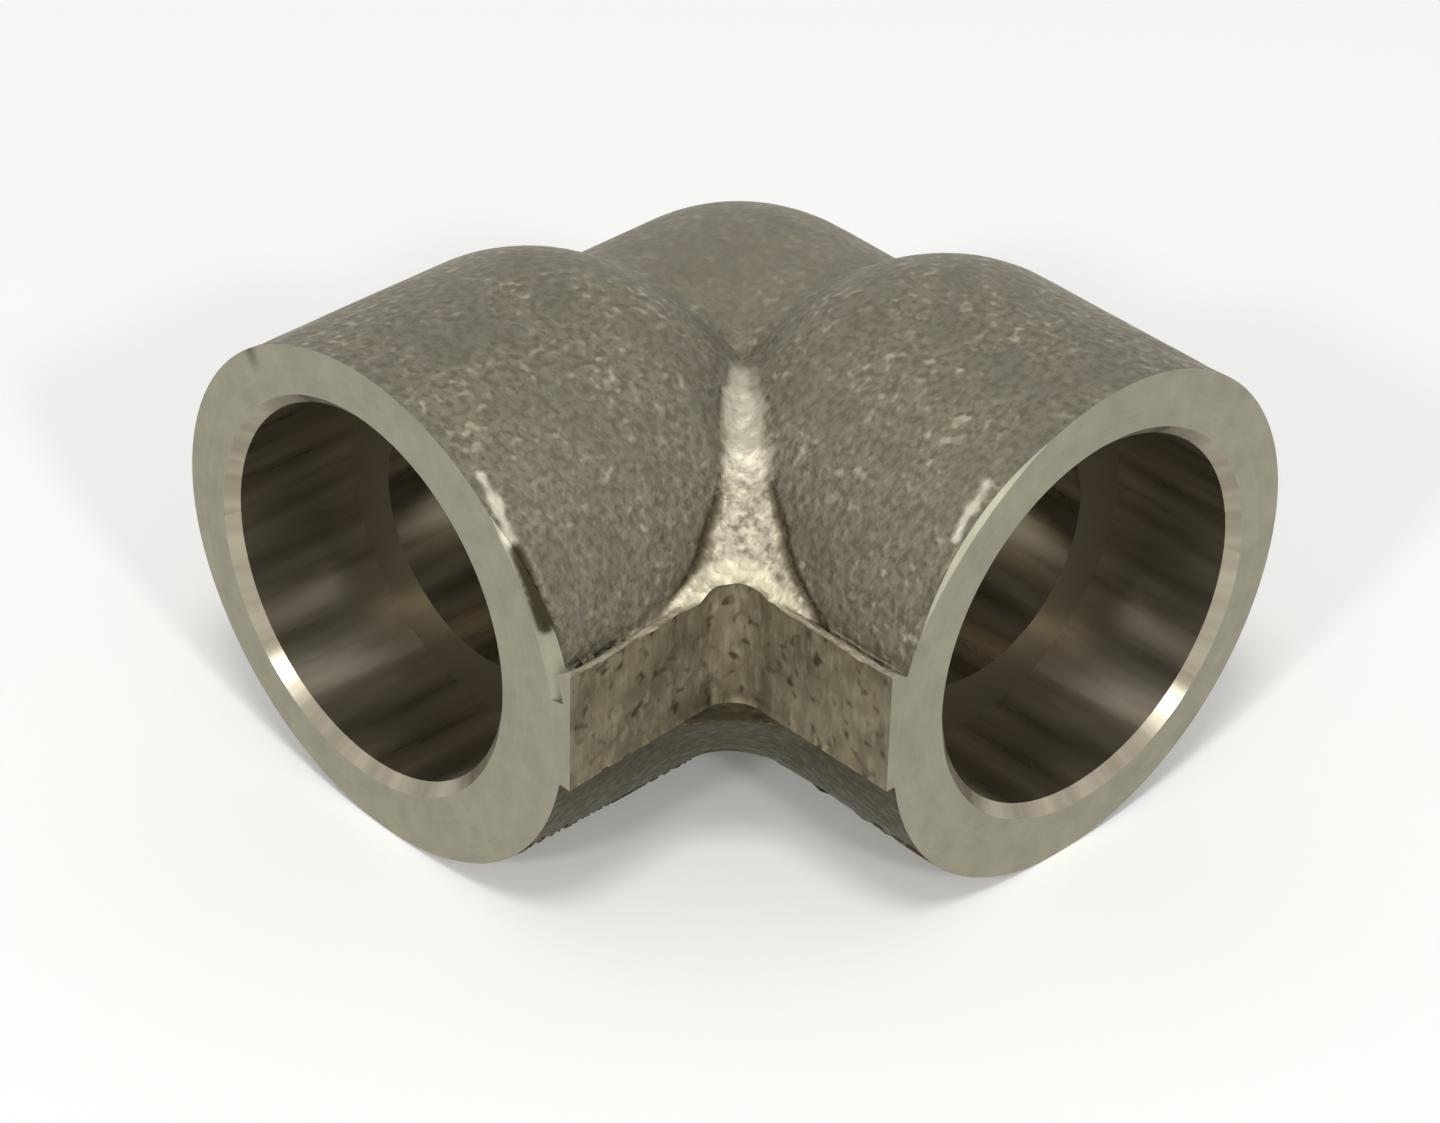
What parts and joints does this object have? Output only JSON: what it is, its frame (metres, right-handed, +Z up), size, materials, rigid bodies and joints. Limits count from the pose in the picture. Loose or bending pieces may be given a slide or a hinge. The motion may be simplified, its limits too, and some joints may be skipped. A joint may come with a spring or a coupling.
{
  "type": "ninety degree elbow",
  "caption": "Forged steel ninety degree elbow with two socket-weld ends for half-inch pipe, lying on its side.",
  "frame": {"origin": "The point where the two bore axes cross, from which each centre-to-end length is measured.", "axes": "+X leaves the left socket along its bore, +Y leaves the right socket along its bore, and +Z is up, square to the forging's parting plane, as the elbow lies on a bench."},
  "size_m": [0.0419, 0.0419, 0.029],
  "materials": {
    "forged_steel": "bare forged steel, shot-blasted warm grey skin with a fine grain, machined ends and bores"
  },
  "bodies": {
    "root": {"elbow": "forged_steel"}
  },
  "joints": []
}
